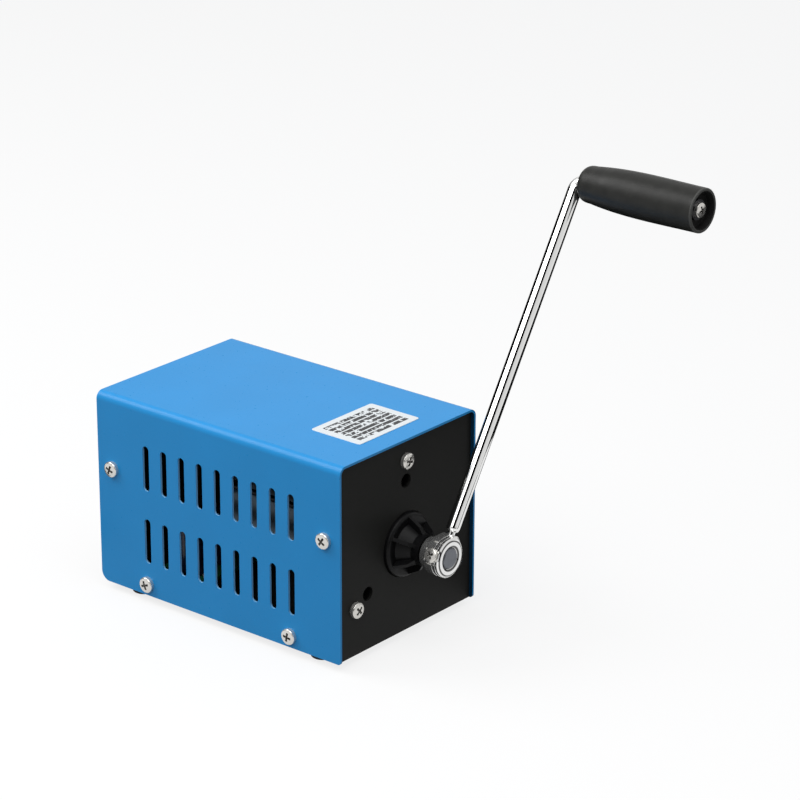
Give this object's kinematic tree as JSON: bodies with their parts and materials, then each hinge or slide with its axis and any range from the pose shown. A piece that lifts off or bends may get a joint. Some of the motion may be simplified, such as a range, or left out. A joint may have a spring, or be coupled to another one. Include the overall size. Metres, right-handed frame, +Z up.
{
  "type": "hand crank generator",
  "caption": "Hand crank generator: blue slotted steel box on rubber feet, black front panel, chrome crank rod with a spinning grip, rear outlets.",
  "frame": {"origin": "on the floor at the middle of the whole object's outline seen from above", "axes": "+Z up, -Y towards the crank side, +X to the right seen from the crank side"},
  "size_m": [0.1631, 0.249, 0.219],
  "materials": {
    "painted_blue": "satin blue paint",
    "chassis_black": "satin black powder coat",
    "zinc_screw": "zinc plated",
    "black_steel": "black oxide",
    "label_foil": "brushed foil",
    "foot_rubber": "matt",
    "housing_nylon": "moulded black",
    "gear_steel": "machined",
    "shaft_steel": "ground",
    "bearing_steel": "polished",
    "bronze": "sintered",
    "aluminium": "machined",
    "core_steel": "laminated",
    "copper": "enamelled wire",
    "magnet": "nickel plated",
    "chrome": "polished chrome",
    "grip_plastic": "satin",
    "board_green": "solder mask",
    "nylon_white": "moulded",
    "capacitor_sleeve": "shrunk sleeve",
    "sink_black": "anodised",
    "lead_black": "insulation",
    "panel_plastic": "moulded black",
    "window_red": "smoked red",
    "rocker_red": "moulded"
  },
  "bodies": {
    "casing": {"top_cover": "painted_blue", "label_plate": "label_foil", "base_plate": "chassis_black", "front_plate": "chassis_black", "rear_plate": "chassis_black", "case_screws": "zinc_screw", "rubber_feet": "foot_rubber", "foot_screws": "zinc_screw", "foot_nuts": "zinc_screw", "gearbox_housing": "housing_nylon", "shaft_bush": "bronze", "ring_gear": "gear_steel", "gearbox_cover": "aluminium", "gearbox_case_screws": "black_steel", "input_bearing_outer_ring": "bearing_steel", "rotor_bearing_outer_rings": "bearing_steel", "generator_can": "aluminium", "generator_bell": "aluminium", "generator_bolts": "black_steel", "stator_core": "core_steel", "stator_coils": "copper", "circuit_board": "board_green", "board_supports": "nylon_white", "capacitors": "capacitor_sleeve", "heat_sink": "sink_black", "wiring": "lead_black", "meter_housing": "panel_plastic", "meter_window": "window_red", "output_jack": "panel_plastic", "usb_housing": "panel_plastic", "usb_shells": "zinc_screw", "switch_body": "panel_plastic"},
    "crank": {"input_shaft": "shaft_steel", "shaft_clip": "black_steel", "input_bearing_inner_ring": "bearing_steel", "first_carrier": "gear_steel", "first_pins": "shaft_steel", "crank_hub": "chrome", "hub_set_screw": "zinc_screw", "crank_arm": "chrome", "grip_washer": "black_steel", "grip_screw": "zinc_screw"},
    "hand_grip": {"grip": "grip_plastic"},
    "middle_stage": {"middle_carrier": "gear_steel", "middle_pins": "shaft_steel", "middle_sun": "gear_steel"},
    "rotor": {"rotor_shaft": "shaft_steel", "rotor_sun": "gear_steel", "rotor_bearing_inner_rings": "bearing_steel", "rotor_core": "core_steel", "rotor_magnets": "magnet"},
    "input_ball_cage": {"input_bearing_balls": "bearing_steel"},
    "rotor_ball_cages": {"rotor_bearing_balls": "bearing_steel"},
    "rocker_button": {"rocker": "rocker_red"},
    "first_planet_gear_1": {"first_planet_1": "gear_steel"},
    "first_planet_gear_2": {"first_planet_2": "gear_steel"},
    "first_planet_gear_3": {"first_planet_3": "gear_steel"},
    "second_planet_gear_1": {"second_planet_1": "gear_steel"},
    "second_planet_gear_2": {"second_planet_2": "gear_steel"},
    "second_planet_gear_3": {"second_planet_3": "gear_steel"}
  },
  "joints": [
    {"name": "crank_spin", "type": "hinge", "parent": "casing", "child": "crank", "pos_m": [-0.02886, -0.03041, 0.0486], "axis": [0, -1, 0], "continuous": true},
    {"name": "grip_spin", "type": "hinge", "parent": "crank", "child": "hand_grip", "pos_m": [0.07076, -0.05711, 0.20803], "axis": [0, -1, 0], "continuous": true},
    {"name": "first_planet_1_spin", "type": "hinge", "parent": "crank", "child": "first_planet_gear_1", "pos_m": [-0.02886, -0.03041, 0.0648], "axis": [0, -1, 0], "continuous": true},
    {"name": "first_planet_2_spin", "type": "hinge", "parent": "crank", "child": "first_planet_gear_2", "pos_m": [-0.04289, -0.03041, 0.0405], "axis": [0, -1, 0], "continuous": true},
    {"name": "first_planet_3_spin", "type": "hinge", "parent": "crank", "child": "first_planet_gear_3", "pos_m": [-0.01483, -0.03041, 0.0405], "axis": [0, -1, 0], "continuous": true},
    {"name": "middle_spin", "type": "hinge", "parent": "casing", "child": "middle_stage", "pos_m": [-0.02886, -0.03041, 0.0486], "axis": [0, -1, 0], "continuous": true},
    {"name": "second_planet_1_spin", "type": "hinge", "parent": "middle_stage", "child": "second_planet_gear_1", "pos_m": [-0.02886, -0.03041, 0.0648], "axis": [0, -1, 0], "continuous": true},
    {"name": "second_planet_2_spin", "type": "hinge", "parent": "middle_stage", "child": "second_planet_gear_2", "pos_m": [-0.04289, -0.03041, 0.0405], "axis": [0, -1, 0], "continuous": true},
    {"name": "second_planet_3_spin", "type": "hinge", "parent": "middle_stage", "child": "second_planet_gear_3", "pos_m": [-0.01483, -0.03041, 0.0405], "axis": [0, -1, 0], "continuous": true},
    {"name": "rotor_spin", "type": "hinge", "parent": "casing", "child": "rotor", "pos_m": [-0.02886, -0.03041, 0.0486], "axis": [0, -1, 0], "continuous": true},
    {"name": "input_cage_spin", "type": "hinge", "parent": "casing", "child": "input_ball_cage", "pos_m": [-0.02886, -0.03041, 0.0486], "axis": [0, -1, 0], "continuous": true},
    {"name": "rotor_cage_spin", "type": "hinge", "parent": "casing", "child": "rotor_ball_cages", "pos_m": [-0.02886, -0.03041, 0.0486], "axis": [0, -1, 0], "continuous": true},
    {"name": "rocker_tilt", "type": "hinge", "parent": "casing", "child": "rocker_button", "pos_m": [-0.05586, 0.11999, 0.037], "axis": [1, 0, 0], "range_deg": [-18, 0]}
  ],
  "couplings": [
    {"joint": "first_planet_1_spin", "follows": "crank_spin", "ratio": -2.5},
    {"joint": "first_planet_2_spin", "follows": "crank_spin", "ratio": -2.5},
    {"joint": "first_planet_3_spin", "follows": "crank_spin", "ratio": -2.5},
    {"joint": "middle_spin", "follows": "crank_spin", "ratio": 6},
    {"joint": "second_planet_1_spin", "follows": "crank_spin", "ratio": -15},
    {"joint": "second_planet_2_spin", "follows": "crank_spin", "ratio": -15},
    {"joint": "second_planet_3_spin", "follows": "crank_spin", "ratio": -15},
    {"joint": "rotor_spin", "follows": "crank_spin", "ratio": 36},
    {"joint": "input_cage_spin", "follows": "crank_spin", "ratio": 0.39792},
    {"joint": "rotor_cage_spin", "follows": "crank_spin", "ratio": 13.249}
  ]
}
